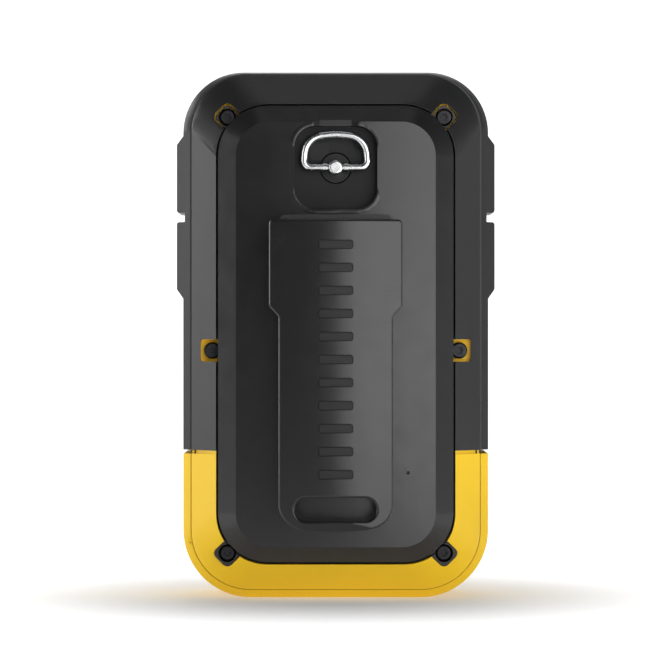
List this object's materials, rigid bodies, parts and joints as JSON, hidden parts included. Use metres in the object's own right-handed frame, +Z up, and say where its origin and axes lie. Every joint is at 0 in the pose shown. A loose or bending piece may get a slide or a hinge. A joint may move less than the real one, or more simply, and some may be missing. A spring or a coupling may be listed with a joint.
{
  "type": "handheld gps unit",
  "caption": "Rugged two-tone handheld GPS unit with side keys, a latched battery door, a folding D-ring latch and a sprung belt clip.",
  "frame": {"origin": "on the flat base, in the middle plane, under the middle of the casing's depth", "axes": "+Z up the device's height, -Y out of the back that carries the clip, +Y out of the display, +X to the right when seen from behind"},
  "size_m": [0.0616, 0.0435, 0.1014],
  "materials": {
    "black_casing": "fine moulded grain, satin",
    "yellow_casing": "smooth moulded, satin",
    "grip_black": "soft overmould, satin",
    "door_black": "fine moulded grain, satin",
    "clip_black": "fine moulded grain, satin",
    "key_rubber": "moulded rubber",
    "seal_rubber": "moulded rubber",
    "chrome_wire": "polished",
    "latch_metal": "turned and plated",
    "black_metal": "blackened",
    "spring_steel": "drawn wire",
    "lens_glass": "clear hard coat over a dark printed border",
    "display_glass": "switched-off reflective display",
    "white_plastic": "moulded",
    "board_laminate": "solder mask",
    "tin_plate": "tin plated",
    "chip_black": "moulded",
    "patch_ceramic": "sintered",
    "flex_film": "polyimide film",
    "cell_jacket": "printed metal jacket",
    "contact_nickel": "nickel plated"
  },
  "bodies": {
    "casing": {"front_housing": "black_casing", "front_bumper": "yellow_casing", "display_lens": "lens_glass", "lens_gasket": "seal_rubber", "lcd_panel": "display_glass", "backlight": "white_plastic", "lcd_frame": "white_plastic", "lcd_flex": "flex_film", "main_board": "board_laminate", "board_screws": "spring_steel", "shield_can": "tin_plate", "processor": "chip_black", "gnss_antenna": "patch_ceramic", "key_switches": "chip_black", "buzzer": "chip_black", "backup_cell": "contact_nickel", "usb_socket": "tin_plate", "rear_housing": "yellow_casing", "rear_grip": "grip_black", "housing_gasket": "seal_rubber", "housing_screws": "black_metal", "screw_cups": "black_casing", "battery_cell_left": "cell_jacket", "battery_cell_right": "cell_jacket", "contact_bridge": "contact_nickel", "contact_terminals": "contact_nickel", "contact_springs": "spring_steel", "door_gasket": "seal_rubber"},
    "door": {"battery_door": "door_black", "latch_well": "door_black", "vent_membrane": "white_plastic"},
    "latch": {"latch_post": "door_black", "latch_stud": "chrome_wire", "latch_tongue": "latch_metal", "latch_circlip": "spring_steel"},
    "ring": {"d_ring": "chrome_wire"},
    "clip": {"clip_base": "clip_black", "clip_pin": "latch_metal", "clip_spring": "spring_steel"},
    "lever": {"clip_lever": "clip_black"},
    "up_button": {"up_key": "key_rubber"},
    "down_button": {"down_key": "key_rubber"},
    "power_button": {"power_key": "key_rubber"},
    "enter_button": {"enter_key": "key_rubber"},
    "socket_cover": {"usb_cap": "key_rubber"}
  },
  "joints": [
    {"name": "door_open", "type": "hinge", "parent": "casing", "child": "door", "pos_m": [0, -0.0117, 0.00795], "axis": [1, 0, 0], "range_deg": [0, 60]},
    {"name": "latch_turn", "type": "hinge", "parent": "door", "child": "latch", "pos_m": [0, -0.0135, 0.0825], "axis": [0, 1, 0], "range_deg": [0, 90]},
    {"name": "ring_fold", "type": "hinge", "parent": "latch", "child": "ring", "pos_m": [0, -0.0152, 0.0825], "axis": [1, 0, 0], "range_deg": [0, 180]},
    {"name": "clip_slide", "type": "slide", "parent": "door", "child": "clip", "axis": [0, 0, -1], "range_m": [0, 0.0155]},
    {"name": "lever_squeeze", "type": "hinge", "parent": "clip", "child": "lever", "pos_m": [0, -0.0229, 0.0662], "axis": [-1, 0, 0], "range_deg": [0, 14], "stiffness_Nm_per_rad": 1.5, "springref_deg": -5.73},
    {"name": "up_press", "type": "slide", "parent": "casing", "child": "up_button", "axis": [1, 0, 0], "range_m": [0, 0.0006], "stiffness_N_per_m": 2500},
    {"name": "down_press", "type": "slide", "parent": "casing", "child": "down_button", "axis": [1, 0, 0], "range_m": [0, 0.0006], "stiffness_N_per_m": 2500},
    {"name": "power_press", "type": "slide", "parent": "casing", "child": "power_button", "axis": [-1, 0, 0], "range_m": [0, 0.0006], "stiffness_N_per_m": 2500},
    {"name": "enter_press", "type": "slide", "parent": "casing", "child": "enter_button", "axis": [-1, 0, 0], "range_m": [0, 0.0006], "stiffness_N_per_m": 2500},
    {"name": "socket_cover_flip", "type": "hinge", "parent": "casing", "child": "socket_cover", "pos_m": [-0.0293, 0.0044, 0.0319], "axis": [0, -1, 0], "range_deg": [0, 120]}
  ]
}
